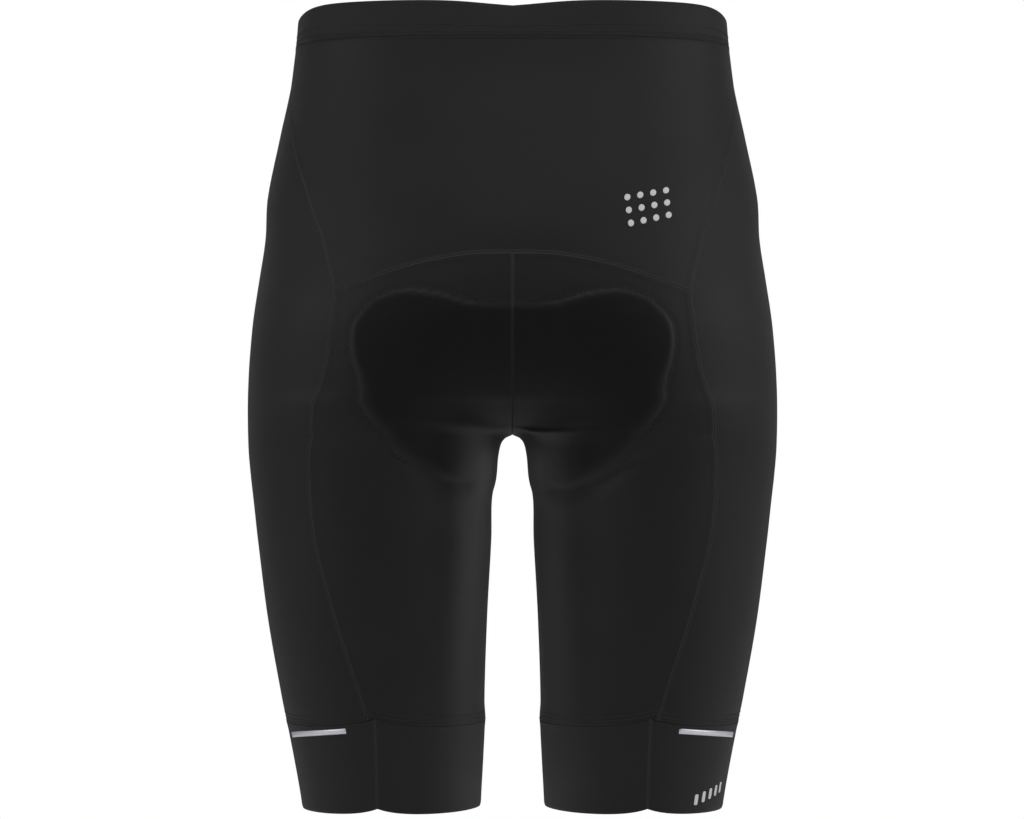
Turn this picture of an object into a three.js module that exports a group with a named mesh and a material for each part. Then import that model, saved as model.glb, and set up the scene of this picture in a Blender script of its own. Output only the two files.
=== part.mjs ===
// Cycling shorts, filled out as worn: stretch cloth panels, elastic waistband, leg grippers and a seat pad.
// Millimetres, +Z up. The origin is the middle of the waist opening; the front faces -Y and the
// wearer's left is +X. "down" is the distance below the rim at the side seams.

import * as THREE from 'three';

// Cloth thicknesses and clearances
const PANEL_WALL = 1.6;
const BAND_WALL = 2.2;
const CUFF_WALL = 1.8;
const SEAM_GAP = 0.3;
const PAD_THICKNESS = 8;
const PAD_EDGE = 1.4;
const PAD_CLEARANCE = 1.8;
const TAB_THICKNESS = 0.5;

// Rim and hem heights
const RIM_SIDE_DOWN = 0;
const RIM_BACK_DOWN = -4;
const RIM_FRONT_DOWN = 22;
const RIM_LIFT = 7.3;
const RIM_LIFT_POWER = 0.9;
const RIM_CORNER_POWER = 18;
const HEM_DOWN = 534;
const HEM_OUTER_DROP = 1;

// Seams that run round the garment, as runs: 0 at the rim, 1 at the crotch, 2 at the hem
const BAND_RUN = 0.06;
const CUFF_RUN = 1.77;
const JUNCTION_RUN = 0.591;
const CUFF_PEAK = 0.028;
const CUFF_PEAK_WIDTH = 0.042;
const HEM_PEAK = 0.018;
const HEM_PEAK_WIDTH = 0.028;

// Columns of the panels between seams, and rows between the seams that cross them
const BACK_COLUMNS = 13;
const SIDE_COLUMNS = 10;
const FRONT_COLUMNS = 12;
const CUFF_SEAM_SHARE = 0.97;
const CUFF_SEAM_LEAN = 0.017;
const CENTRE_CROWDING = 1.25;
const BAND_ROWS = 2;
const YOKE_ROWS = 10;
const SEAT_ROWS = 10;
const LEG_ROWS = 11;
const CUFF_ROWS = 4;

// Level sections. side: half the breadth. fork: half the space between the two leg ovals, negative
// where they run into one another. back and front: depth from the origin. square: 2 is an ellipse.
// blend: how softly the two ovals join on the centre line.
const sections = [
  { down: -12, side: 146.0, fork: -146, back: 90, front: 98, square: 2.25, blend: 0 },
  { down: 0, side: 146.5, fork: -147, back: 92, front: 100, square: 2.25, blend: 0 },
  { down: 38, side: 150.3, fork: -151, back: 99, front: 108, square: 2.25, blend: 0 },
  { down: 79, side: 158.8, fork: -156, back: 110, front: 114, square: 2.2, blend: 0 },
  { down: 120, side: 166.7, fork: -149, back: 121, front: 116, square: 2.2, blend: 3 },
  { down: 148, side: 168.0, fork: -126, back: 127, front: 115, square: 2.15, blend: 11 },
  { down: 175, side: 171.8, fork: -100, back: 131, front: 113, square: 2.15, blend: 18 },
  { down: 200, side: 175.5, fork: -78, back: 132, front: 110, square: 2.15, blend: 25 },
  { down: 216, side: 177.2, fork: -64, back: 130, front: 108, square: 2.15, blend: 29 },
  { down: 235, side: 178.8, fork: -46, back: 126, front: 106, square: 2.1, blend: 37 },
  { down: 250, side: 179.6, fork: -26, back: 121, front: 105, square: 2.1, blend: 47 },
  { down: 260, side: 179.9, fork: -6, back: 117.7, front: 104.3, square: 2.1, blend: 52 },
  { down: 274, side: 180.0, fork: 9, back: 112.4, front: 103.3, square: 2.1, blend: 48 },
  { down: 283, side: 179.9, fork: 13.2, back: 109, front: 102.8, square: 2.1, blend: 50 },
  { down: 293, side: 179.6, fork: 15.5, back: 105.5, front: 102.2, square: 2.1, blend: 55 },
  { down: 310, side: 178.2, fork: 17.2, back: 101.1, front: 101.5, square: 2.1, blend: 60 },
  { down: 325, side: 176.6, fork: 18.4, back: 98, front: 101, square: 2.1, blend: 60 },
  { down: 352, side: 173.8, fork: 18.6, back: 93, front: 100, square: 2.1, blend: 60 },
  { down: 407, side: 167.0, fork: 20.2, back: 83, front: 95, square: 2.1, blend: 60 },
  { down: 462, side: 157.4, fork: 21.3, back: 71, front: 86, square: 2.1, blend: 60 },
  { down: 475, side: 154.7, fork: 20.9, back: 68, front: 84, square: 2.1, blend: 60 },
  { down: 503, side: 149.2, fork: 21.7, back: 63, front: 78, square: 2.1, blend: 60 },
  { down: 530, side: 144.5, fork: 22.7, back: 59, front: 74, square: 2.1, blend: 60 },
  { down: 545, side: 143.0, fork: 23, back: 57, front: 72, square: 2.1, blend: 60 },
];

// Side seams, as turns: 0 at the centre back, 0.5 at the side, 1 at the centre front
const backSideSeam = [
  { run: 0.06, turn: 0.5 },
  { run: 0.17, turn: 0.455 },
  { run: 0.301, turn: 0.3865 },
  { run: 0.389, turn: 0.342 },
  { run: 0.451, turn: 0.32 },
  { run: 0.521, turn: 0.289 },
  { run: 0.591, turn: 0.26 },
  { run: 0.645, turn: 0.2582 },
  { run: 0.7, turn: 0.2615 },
  { run: 0.761, turn: 0.2725 },
  { run: 0.828, turn: 0.284 },
  { run: 0.87, turn: 0.2882 },
  { run: 0.914, turn: 0.292 },
  { run: 0.968, turn: 0.2993 },
  { run: 1.0, turn: 0.3045 },
  { run: 1.043, turn: 0.3078 },
  { run: 1.1, turn: 0.3093 },
  { run: 1.18, turn: 0.31 },
  { run: 1.286, turn: 0.3082 },
  { run: 1.405, turn: 0.2985 },
  { run: 1.53, turn: 0.287 },
  { run: 1.654, turn: 0.2745 },
  { run: 1.8, turn: 0.262 },
];
const frontSideSeam = [
  { run: 0.06, turn: 0.66 },
  { run: 0.4, turn: 0.678 },
  { run: 0.6, turn: 0.7025 },
  { run: 0.7, turn: 0.7065 },
  { run: 0.75, turn: 0.703 },
  { run: 0.8, turn: 0.7 },
  { run: 0.85, turn: 0.7005 },
  { run: 0.9, turn: 0.7055 },
  { run: 0.95, turn: 0.7035 },
  { run: 1.0, turn: 0.6975 },
  { run: 1.05, turn: 0.699 },
  { run: 1.2, turn: 0.7007 },
  { run: 1.3, turn: 0.703 },
  { run: 1.5, turn: 0.715 },
  { run: 1.8, turn: 0.735 },
];

// The arched seam under the back yoke, as distance from the centre line and distance down
const archSeam = [
  { across: 0, down: 161.6 },
  { across: 26, down: 162.2 },
  { across: 44, down: 164.7 },
  { across: 61, down: 168.2 },
  { across: 78, down: 173 },
  { across: 96, down: 179.2 },
  { across: 115.5, down: 186.2 },
];

// Outline of half the seat pad behind and in front of the inseam: its top from the centre line out,
// its outer edge down, and its foot in to the inseam
const padBack = {
  centreTurn: 0,
  top: [
    { run: 0.544, turn: 0 },
    { run: 0.545, turn: 0.053 },
    { run: 0.537, turn: 0.104 },
    { run: 0.545, turn: 0.157 },
    { run: 0.578, turn: 0.198 },
  ],
  outer: [
    { run: 0.578, turn: 0.198 },
    { run: 0.64, turn: 0.226 },
    { run: 0.73, turn: 0.231 },
    { run: 0.832, turn: 0.2325 },
    { run: 0.92, turn: 0.231 },
    { run: 1, turn: 0.2335 },
    { run: 1.056, turn: 0.2145 },
    { run: 1.102, turn: 0.19 },
  ],
  foot: [
    { run: 1.153, turn: 0 },
    { run: 1.153, turn: 0.09 },
    { run: 1.14, turn: 0.145 },
    { run: 1.102, turn: 0.19 },
  ],
};
const padFront = {
  centreTurn: 1,
  top: [
    { run: 0.6, turn: 1 },
    { run: 0.605, turn: 0.965 },
    { run: 0.64, turn: 0.93 },
  ],
  outer: [
    { run: 0.64, turn: 0.93 },
    { run: 0.74, turn: 0.91 },
    { run: 0.87, turn: 0.89 },
    { run: 1, turn: 0.87 },
    { run: 1.09, turn: 0.885 },
  ],
  foot: [
    { run: 1.153, turn: 1 },
    { run: 1.14, turn: 0.93 },
    { run: 1.09, turn: 0.885 },
  ],
};

// Reflective tabs, just under the seam of the leg grippers on the outer back
const TAB_START_TURN = 0.3;
const TAB_END_TURN = 0.437;
const TAB_START_RUN = 1.769;
const TAB_END_RUN = 1.795;
const TAB_HEIGHT_RUN = 0.0145;
const TAB_COLUMNS = 8;

// Colours and finish
const finishes = {
  lycra: { color: 0x1b1b1d, roughness: 0.62, metalness: 0 },
  band: { color: 0x1f1f21, roughness: 0.66, metalness: 0 },
  gripper: { color: 0x202022, roughness: 0.7, metalness: 0 },
  pad: { color: 0x2a2a2d, roughness: 0.9, metalness: 0 },
  reflective: { color: 0xc9c9d2, roughness: 0.35, metalness: 0.3 },
};

// Smooth curve through the rows of a table
function readTable(table, key, place, column) {
  let i = 0;
  while (i < table.length - 2 && place > table[i + 1][key]) i += 1;
  const slope = (k) => {
    const before = table[Math.max(k - 1, 0)];
    const after = table[Math.min(k + 1, table.length - 1)];
    return (after[column] - before[column]) / (after[key] - before[key]);
  };
  const a = table[i];
  const b = table[i + 1];
  const step = b[key] - a[key];
  const t = Math.min(Math.max((place - a[key]) / step, 0), 1);
  const t2 = t * t;
  const t3 = t2 * t;
  return a[column] * (2 * t3 - 3 * t2 + 1) + step * slope(i) * (t3 - 2 * t2 + t)
    + b[column] * (3 * t2 - 2 * t3) + step * slope(i + 1) * (t3 - t2);
}

// One level section: two ovals, one for each leg, that meet on the centre line
const MOST_BLEND_SHARE = 1.2;

function sectionAt(down) {
  const read = (column) => readTable(sections, 'down', down, column);
  const side = read('side');
  const centre = Math.max((read('fork') + side) / 2, 0);
  const back = read('back');
  const front = read('front');
  return {
    centre,
    half: side - centre,
    depth: (back + front) / 2,
    middle: (back - front) / 2,
    square: read('square'),
    blend: Math.max(Math.min(read('blend'), MOST_BLEND_SHARE * centre), 0),
  };
}

function outsideOval(section, x, y) {
  const reach = Math.hypot(x, y);
  if (reach < 1e-9) return -section.depth;
  const power = section.square;
  const share = Math.abs(x / section.half) ** power + Math.abs(y / section.depth) ** power;
  return reach * (1 - share ** (-1 / power));
}

// Distance outside the section, negative inside it
function outsideSection(section, x, y) {
  const dy = y - section.middle;
  const left = outsideOval(section, x - section.centre, dy);
  const right = outsideOval(section, x + section.centre, dy);
  const near = Math.min(left, right);
  if (section.blend < 1e-6) return near;
  const overlap = Math.max(section.blend - Math.abs(left - right), 0);
  return near - (overlap * overlap) / (4 * section.blend);
}

// Longest distance searched for the surface, and how often the search halves it
const FAR = 260;
const HALVINGS = 46;

function halve(isInside, far) {
  let low = 0;
  let high = far;
  for (let i = 0; i < HALVINGS; i += 1) {
    const middle = (low + high) / 2;
    if (isInside(middle)) low = middle;
    else high = middle;
  }
  return low;
}

// The line of the garment on its centre plane, from the rim down to the crotch
const FOLD_DOWN = 150;
const FOLD_Y = 3.75;
const STRAIGHT_STEPS = 60;
const CURVED_STEPS = 200;

function midline(rimDown, side) {
  const points = [];
  for (let i = 0; i <= STRAIGHT_STEPS; i += 1) {
    const down = rimDown + ((FOLD_DOWN - rimDown) * i) / STRAIGHT_STEPS;
    const section = sectionAt(down);
    const reach = halve((r) => outsideSection(section, 0, section.middle + side * r) < 0, FAR);
    points.push({ down, y: section.middle + side * reach, length: 0 });
  }
  for (let i = 1; i <= CURVED_STEPS; i += 1) {
    const angle = (Math.PI / 2) * (i / CURVED_STEPS);
    const dy = side * Math.cos(angle);
    const dd = Math.sin(angle);
    const reach = halve((r) => outsideSection(sectionAt(FOLD_DOWN + dd * r), 0, FOLD_Y + dy * r) < 0, FAR);
    points.push({ down: FOLD_DOWN + dd * reach, y: FOLD_Y + dy * reach, length: 0 });
  }
  for (let i = 1; i < points.length; i += 1) {
    const step = Math.hypot(points[i].down - points[i - 1].down, points[i].y - points[i - 1].y);
    points[i].length = points[i - 1].length + step;
  }
  return points;
}

const backLine = midline(RIM_BACK_DOWN, 1);
const frontLine = midline(RIM_FRONT_DOWN, -1);
const CROTCH_DOWN = backLine[backLine.length - 1].down;

function placeOnLine(line, run) {
  const wanted = run * line[line.length - 1].length;
  let i = 0;
  while (i < line.length - 2 && wanted > line[i + 1].length) i += 1;
  const t = (wanted - line[i].length) / (line[i + 1].length - line[i].length);
  return {
    down: THREE.MathUtils.lerp(line[i].down, line[i + 1].down, t),
    y: THREE.MathUtils.lerp(line[i].y, line[i + 1].y, t),
  };
}

// A point of the left half of the garment's outer face
function surfacePoint(turn, run) {
  let down = CROTCH_DOWN + (run - 1) * (HEM_DOWN - CROTCH_DOWN);
  let firstAngle = Math.PI;
  let lastAngle = -Math.PI;
  if (run < 1) {
    const back = placeOnLine(backLine, run);
    const front = placeOnLine(frontLine, run);
    const side = RIM_SIDE_DOWN + (CROTCH_DOWN - RIM_SIDE_DOWN) * run;
    const share = Math.cos(Math.PI * turn) ** 2;
    down = side + ((turn < 0.5 ? back.down : front.down) - side) * share;
    const backSection = sectionAt(back.down);
    const frontSection = sectionAt(front.down);
    firstAngle = Math.atan2(Math.max(back.y - backSection.middle, 0), -backSection.centre);
    lastAngle = -Math.atan2(Math.max(frontSection.middle - front.y, 0), -frontSection.centre);
  }
  const section = sectionAt(down);
  const angle = THREE.MathUtils.lerp(firstAngle, lastAngle, turn);
  const dx = Math.cos(angle);
  const dy = Math.sin(angle);
  const far = dx < 0 ? Math.min(FAR, section.centre / -dx) : FAR;
  const inside = (r) => outsideSection(section, section.centre + dx * r, section.middle + dy * r) < 0;
  const reach = halve(inside, far);
  const onCentre = run <= 1 && (turn === 0 || turn === 1);
  const x = onCentre ? 0 : Math.max(section.centre + dx * reach, 0);
  return new THREE.Vector3(x, section.middle + dy * reach, -down);
}

// Outward normal of the garment at a point of its outer face, from differences a small step apart
const NORMAL_STEP = 0.4;

function surfaceNormal(point) {
  const step = NORMAL_STEP;
  const value = (x, y, z) => outsideSection(sectionAt(-z), x, y);
  const { x, y, z } = point;
  return new THREE.Vector3(
    x === 0 ? 0 : value(x + step, y, z) - value(x - step, y, z),
    value(x, y + step, z) - value(x, y - step, z),
    value(x, y, z + step) - value(x, y, z - step),
  ).normalize();
}

// A cell of the lattice: its point, and the way into the garment from it
function latticePoint(turn, run) {
  const point = surfacePoint(turn, run);
  return { point, normal: surfaceNormal(point) };
}

function pointInside(cell, depth) {
  return cell.point.clone().addScaledVector(cell.normal, -depth);
}

// A closed solid between an outer and an inner grid of points. A ring joins its last column to its first.
function wallGeometry(outer, inner, isRing) {
  const rows = outer.length;
  const columns = outer[0].length;
  const positions = [];
  for (const layer of [outer, inner]) {
    for (const row of layer) {
      for (const point of row) positions.push(point.x, point.y, point.z);
    }
  }
  const at = (layer, i, j) => (layer * rows + i) * columns + (j % columns);
  const index = [];
  const quad = (a, b, c, d) => index.push(a, b, c, a, c, d);
  const cells = isRing ? columns : columns - 1;
  for (let i = 0; i < rows - 1; i += 1) {
    for (let j = 0; j < cells; j += 1) {
      quad(at(0, i, j), at(0, i, j + 1), at(0, i + 1, j + 1), at(0, i + 1, j));
      quad(at(1, i, j), at(1, i + 1, j), at(1, i + 1, j + 1), at(1, i, j + 1));
    }
  }
  for (let j = 0; j < cells; j += 1) {
    quad(at(0, 0, j), at(1, 0, j), at(1, 0, j + 1), at(0, 0, j + 1));
    quad(at(0, rows - 1, j), at(0, rows - 1, j + 1), at(1, rows - 1, j + 1), at(1, rows - 1, j));
  }
  if (!isRing) {
    for (let i = 0; i < rows - 1; i += 1) {
      quad(at(0, i, 0), at(0, i + 1, 0), at(1, i + 1, 0), at(1, i, 0));
      quad(at(0, i, columns - 1), at(1, i, columns - 1), at(1, i + 1, columns - 1), at(0, i + 1, columns - 1));
    }
  }
  const geometry = new THREE.BufferGeometry();
  geometry.setAttribute('position', new THREE.Float32BufferAttribute(positions, 3));
  geometry.setIndex(index);
  geometry.computeVertexNormals();
  return geometry;
}

// Draws the edges of a grid back by half the seam gap
function insetEdges(grid, isRing) {
  const half = SEAM_GAP / 2;
  const pull = (cell, next) => {
    const way = next.point.clone().sub(cell.point).normalize();
    return { point: cell.point.clone().addScaledVector(way, half), normal: cell.normal };
  };
  const rows = grid.length;
  const columns = grid[0].length;
  let result = grid.map((row) => row.slice());
  for (let j = 0; j < columns; j += 1) {
    result[0][j] = pull(grid[0][j], grid[1][j]);
    result[rows - 1][j] = pull(grid[rows - 1][j], grid[rows - 2][j]);
  }
  if (isRing) return result;
  result = result.map((row) => {
    const copy = row.slice();
    copy[0] = pull(row[0], row[1]);
    copy[columns - 1] = pull(row[columns - 1], row[columns - 2]);
    return copy;
  });
  return result;
}

function panelGeometry(grid, wall, isRing = false) {
  const inset = insetEdges(grid, isRing);
  const outer = inset.map((row) => row.map((cell) => cell.point));
  const inner = inset.map((row) => row.map((cell) => pointInside(cell, wall)));
  return wallGeometry(outer, inner, isRing);
}

// The same piece on the wearer's right
function mirrorGeometry(geometry) {
  const copy = geometry.clone();
  const position = copy.getAttribute('position');
  for (let i = 0; i < position.count; i += 1) position.setX(i, -position.getX(i));
  const index = Array.from(copy.getIndex().array);
  for (let i = 0; i < index.length; i += 3) {
    const second = index[i + 1];
    index[i + 1] = index[i + 2];
    index[i + 2] = second;
  }
  copy.setIndex(index);
  copy.computeVertexNormals();
  return copy;
}

function evenSteps(from, to, steps) {
  return Array.from({ length: steps + 1 }, (_, i) => THREE.MathUtils.lerp(from, to, i / steps));
}

// Shares of the way from the centre back to the side seam. The last but one is the gripper's own seam.
const crowd = (share) => share ** CENTRE_CROWDING;
const backShares = [...evenSteps(0, 1, BACK_COLUMNS - 1).map((share) => CUFF_SEAM_SHARE * crowd(share)), 1];
const sideShares = evenSteps(0, 1, SIDE_COLUMNS);
const frontShares = evenSteps(0, 1, FRONT_COLUMNS).map((share) => 1 - crowd(1 - share));

const backSeamTurn = (run) => readTable(backSideSeam, 'run', run, 'turn');
const frontSeamTurn = (run) => readTable(frontSideSeam, 'run', run, 'turn');
const CUFF_SEAM_TURN = CUFF_SEAM_SHARE * backSeamTurn(CUFF_RUN);

function archRun(turn) {
  const above = (run) => {
    const point = surfacePoint(turn, run);
    return -point.z < readTable(archSeam, 'across', point.x, 'down');
  };
  return halve(above, 1);
}

function peak(turn, height, width) {
  return height * Math.exp(-Math.abs(turn - CUFF_SEAM_TURN) / width);
}

function cuffRun(turn) {
  return CUFF_RUN - peak(turn, CUFF_PEAK, CUFF_PEAK_WIDTH);
}

function hemRun(turn) {
  const drop = (HEM_OUTER_DROP / (HEM_DOWN - CROTCH_DOWN)) * Math.sin(Math.PI * turn) ** 4;
  return 2 + drop - peak(turn, HEM_PEAK, HEM_PEAK_WIDTH);
}

// Rows of a panel from one run to another, passing through the crotch and closer together near it
function rowsThroughCrotch(top, bottom) {
  const seat = evenSteps(1, 0, SEAT_ROWS).map((share) => THREE.MathUtils.lerp(1, top, crowd(share)));
  const leg = evenSteps(0, 1, LEG_ROWS).map((share) => THREE.MathUtils.lerp(1, bottom, crowd(share)));
  return [...seat, ...leg.slice(1)];
}

const yokeRuns = evenSteps(BAND_RUN, JUNCTION_RUN, YOKE_ROWS);

function yokeGrid() {
  const half = backShares.map((share) => {
    const bottom = share === 1 ? JUNCTION_RUN : archRun(share * backSeamTurn(JUNCTION_RUN));
    return yokeRuns.map((edgeRun, i) => {
      const turn = share * backSeamTurn(edgeRun);
      return latticePoint(turn, THREE.MathUtils.lerp(BAND_RUN, bottom, i / YOKE_ROWS));
    });
  });
  const mirrored = half.slice(1).reverse().map((column) => column.map((cell) => ({
    point: cell.point.clone().multiply(new THREE.Vector3(-1, 1, 1)),
    normal: cell.normal.clone().multiply(new THREE.Vector3(-1, 1, 1)),
  })));
  const columns = [...mirrored, ...half];
  return yokeRuns.map((_, i) => columns.map((column) => column[i]));
}

function backLegGrid() {
  const columns = backShares.map((share) => {
    const top = share === 1 ? JUNCTION_RUN : archRun(share * backSeamTurn(JUNCTION_RUN));
    const edge = rowsThroughCrotch(JUNCTION_RUN, cuffRun(backSeamTurn(CUFF_RUN)));
    const bottom = cuffRun(share * backSeamTurn(CUFF_RUN));
    return rowsThroughCrotch(top, bottom).map((run, i) => latticePoint(share * backSeamTurn(edge[i]), run));
  });
  return columns[0].map((_, i) => columns.map((column) => column[i]));
}

function longRows(turn) {
  return [...yokeRuns.slice(0, -1), ...rowsThroughCrotch(JUNCTION_RUN, cuffRun(turn))];
}

function sideGrid() {
  const edge = longRows(backSeamTurn(CUFF_RUN));
  const columns = sideShares.map((share) => {
    const footTurn = THREE.MathUtils.lerp(backSeamTurn(CUFF_RUN), frontSeamTurn(CUFF_RUN), share);
    return longRows(footTurn).map((run, i) => {
      const turn = THREE.MathUtils.lerp(backSeamTurn(edge[i]), frontSeamTurn(edge[i]), share);
      return latticePoint(turn, run);
    });
  });
  return columns[0].map((_, i) => columns.map((column) => column[i]));
}

function frontLegGrid() {
  const edge = longRows(backSeamTurn(CUFF_RUN));
  const columns = frontShares.map((share) => {
    const footTurn = THREE.MathUtils.lerp(frontSeamTurn(CUFF_RUN), 1, share);
    return longRows(footTurn).map((run, i) => {
      const turn = share === 1 ? 1 : THREE.MathUtils.lerp(frontSeamTurn(edge[i]), 1, share);
      return latticePoint(turn, run);
    });
  });
  return columns[0].map((_, i) => columns.map((column) => column[i]));
}

// Turns of all the columns at one run, from the centre back to the centre front
function allTurns(run) {
  const back = backSeamTurn(run);
  const front = frontSeamTurn(run);
  return [
    ...backShares.map((share) => share * back),
    ...sideShares.slice(1).map((share) => THREE.MathUtils.lerp(back, front, share)),
    ...frontShares.slice(1).map((share) => THREE.MathUtils.lerp(front, 1, share)),
  ];
}

// Between the centre back and the sides the rim stands a little higher
function liftRim(cell, run) {
  if (cell.point.y <= 0) return cell;
  const across = Math.min(cell.point.x / sectionAt(RIM_SIDE_DOWN).half, 1);
  const lift = RIM_LIFT * across ** RIM_LIFT_POWER * (1 - across ** RIM_CORNER_POWER);
  const raised = new THREE.Vector3(0, 0, lift * (1 - run / BAND_RUN));
  return { point: cell.point.clone().add(raised), normal: cell.normal };
}

function waistbandGeometry() {
  const grid = evenSteps(0, BAND_RUN, BAND_ROWS).map((run) => {
    const half = allTurns(BAND_RUN).map((turn) => liftRim(latticePoint(turn, run), run));
    const other = half.slice(1, -1).reverse().map((cell) => ({
      point: cell.point.clone().multiply(new THREE.Vector3(-1, 1, 1)),
      normal: cell.normal.clone().multiply(new THREE.Vector3(-1, 1, 1)),
    }));
    return [...half, ...other];
  });
  return panelGeometry(grid, BAND_WALL, true);
}

// One strip round the leg, open at its own seam on the back of the thigh
function cuffGeometry() {
  const turns = allTurns(CUFF_RUN);
  const seam = BACK_COLUMNS - 1;
  const order = [...turns.slice(seam, -1), ...turns.slice(0, seam + 1)];
  const grid = evenSteps(0, 1, CUFF_ROWS).map((share) => order.map((turn) => {
    const leaning = turn + CUFF_SEAM_LEAN * share * Math.sin(Math.PI * turn) ** 2;
    return latticePoint(leaning, THREE.MathUtils.lerp(cuffRun(turn), hemRun(turn), share));
  }));
  return panelGeometry(grid, CUFF_WALL);
}

// A strip of tape on the outer face of the leg gripper
function tabGeometry() {
  const grid = [0, 1].map((row) => evenSteps(0, 1, TAB_COLUMNS).map((share) => {
    const turn = THREE.MathUtils.lerp(TAB_START_TURN, TAB_END_TURN, share);
    const run = THREE.MathUtils.lerp(TAB_START_RUN, TAB_END_RUN, share) + row * TAB_HEIGHT_RUN;
    return latticePoint(turn, run);
  }));
  const outer = grid.map((row) => row.map((cell) => pointInside(cell, -SEAM_GAP - TAB_THICKNESS)));
  const inner = grid.map((row) => row.map((cell) => pointInside(cell, -SEAM_GAP)));
  return wallGeometry(outer, inner, false);
}

// The seat pad lies inside the panels, in four quarters that share the crotch point
const PAD_ACROSS = 8;
const PAD_SEAT_ROWS = 14;
const PAD_THIGH_ROWS = 5;
const PAD_BEVEL_SHARE = 0.3;
const MERGE_PER_MM = 500;

function curveOf(table) {
  return new THREE.SplineCurve(table.map(({ turn, run }) => new THREE.Vector2(turn, run)));
}

function padQuarter(outline) {
  const top = curveOf(outline.top);
  const outer = curveOf(outline.outer);
  const foot = curveOf(outline.foot);
  const topRun = outline.top[0].run;
  const footRun = outline.foot[0].run;
  const centreRuns = [
    ...evenSteps(topRun, 1, PAD_SEAT_ROWS),
    ...evenSteps(1, footRun, PAD_THIGH_ROWS).slice(1),
  ];
  return centreRuns.map((centreRun, j) => {
    const b = j / (centreRuns.length - 1);
    return evenSteps(0, 1, PAD_ACROSS).map(crowd).map((a) => {
      const centre = new THREE.Vector2(outline.centreTurn, centreRun);
      const place = top.getPoint(a).multiplyScalar(1 - b).addScaledVector(foot.getPoint(a), b);
      place.addScaledVector(centre, 1 - a).addScaledVector(outer.getPoint(b), a);
      place.addScaledVector(top.getPoint(0), -(1 - a) * (1 - b)).addScaledVector(top.getPoint(1), -a * (1 - b));
      place.addScaledVector(foot.getPoint(0), -(1 - a) * b).addScaledVector(foot.getPoint(1), -a * b);
      const cell = a === 0 ? latticePoint(outline.centreTurn, centreRun) : latticePoint(place.x, place.y);
      const rise = Math.min(1, (1 - a) / PAD_BEVEL_SHARE, b / PAD_BEVEL_SHARE, (1 - b) / PAD_BEVEL_SHARE);
      const depth = PAD_EDGE + (PAD_THICKNESS - PAD_EDGE) * Math.sin((Math.PI / 2) * rise);
      return { ...cell, depth };
    });
  });
}

// Quarters share the points of the centre line above the crotch and of the inseams below it
function padGeometry() {
  const positions = [];
  const index = [];
  const known = new Map();
  const vertex = (point) => {
    const key = [point.x, point.y, point.z].map((value) => Math.round(value * MERGE_PER_MM)).join();
    if (!known.has(key)) {
      known.set(key, positions.length / 3);
      positions.push(point.x, point.y, point.z);
    }
    return known.get(key);
  };
  const triangle = (a, b, c) => {
    if (a !== b && b !== c && c !== a) index.push(a, b, c);
  };
  const quad = (a, b, c, d, flip) => {
    if (flip) {
      triangle(a, c, b);
      triangle(a, d, c);
    } else {
      triangle(a, b, c);
      triangle(a, c, d);
    }
  };
  const quarters = [
    { grid: padQuarter(padBack), flip: false },
    { grid: padQuarter(padFront), flip: true },
  ];
  for (const side of [1, -1]) {
    for (const { grid, flip } of quarters) {
      const turned = side > 0 ? flip : !flip;
      const place = (cell, depth) => {
        const point = pointInside(cell, depth);
        return vertex(new THREE.Vector3(side * point.x, point.y, point.z));
      };
      const top = PANEL_WALL + PAD_CLEARANCE;
      const outer = grid.map((row) => row.map((cell) => place(cell, top)));
      const inner = grid.map((row) => row.map((cell) => place(cell, top + cell.depth)));
      for (let j = 0; j < grid.length - 1; j += 1) {
        for (let i = 0; i < PAD_ACROSS; i += 1) {
          quad(outer[j][i], outer[j][i + 1], outer[j + 1][i + 1], outer[j + 1][i], turned);
          quad(inner[j][i], inner[j + 1][i], inner[j + 1][i + 1], inner[j][i + 1], turned);
        }
        const last = PAD_ACROSS;
        quad(outer[j][last], inner[j][last], inner[j + 1][last], outer[j + 1][last], turned);
      }
      const foot = grid.length - 1;
      for (let i = 0; i < PAD_ACROSS; i += 1) {
        quad(outer[0][i], inner[0][i], inner[0][i + 1], outer[0][i + 1], turned);
        quad(outer[foot][i], outer[foot][i + 1], inner[foot][i + 1], inner[foot][i], turned);
      }
    }
  }
  const geometry = new THREE.BufferGeometry();
  geometry.setAttribute('position', new THREE.Float32BufferAttribute(positions, 3));
  geometry.setIndex(index);
  geometry.computeVertexNormals();
  return geometry;
}

const group = new THREE.Group();

function addPiece(name, geometry, finish) {
  const mesh = new THREE.Mesh(geometry, new THREE.MeshStandardMaterial(finishes[finish]));
  mesh.name = name;
  group.add(mesh);
}

function addPair(name, geometry, finish) {
  addPiece(`${name}_left`, geometry, finish);
  addPiece(`${name}_right`, mirrorGeometry(geometry), finish);
}

addPiece('waistband', waistbandGeometry(), 'band');
addPiece('back_yoke', panelGeometry(yokeGrid(), PANEL_WALL), 'lycra');
addPair('back_leg', panelGeometry(backLegGrid(), PANEL_WALL), 'lycra');
addPair('side_panel', panelGeometry(sideGrid(), PANEL_WALL), 'lycra');
addPair('front_leg', panelGeometry(frontLegGrid(), PANEL_WALL), 'lycra');
addPair('leg_gripper', cuffGeometry(), 'gripper');
addPair('reflective_tab', tabGeometry(), 'reflective');
addPiece('seat_pad', padGeometry(), 'pad');

export default group;
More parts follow.
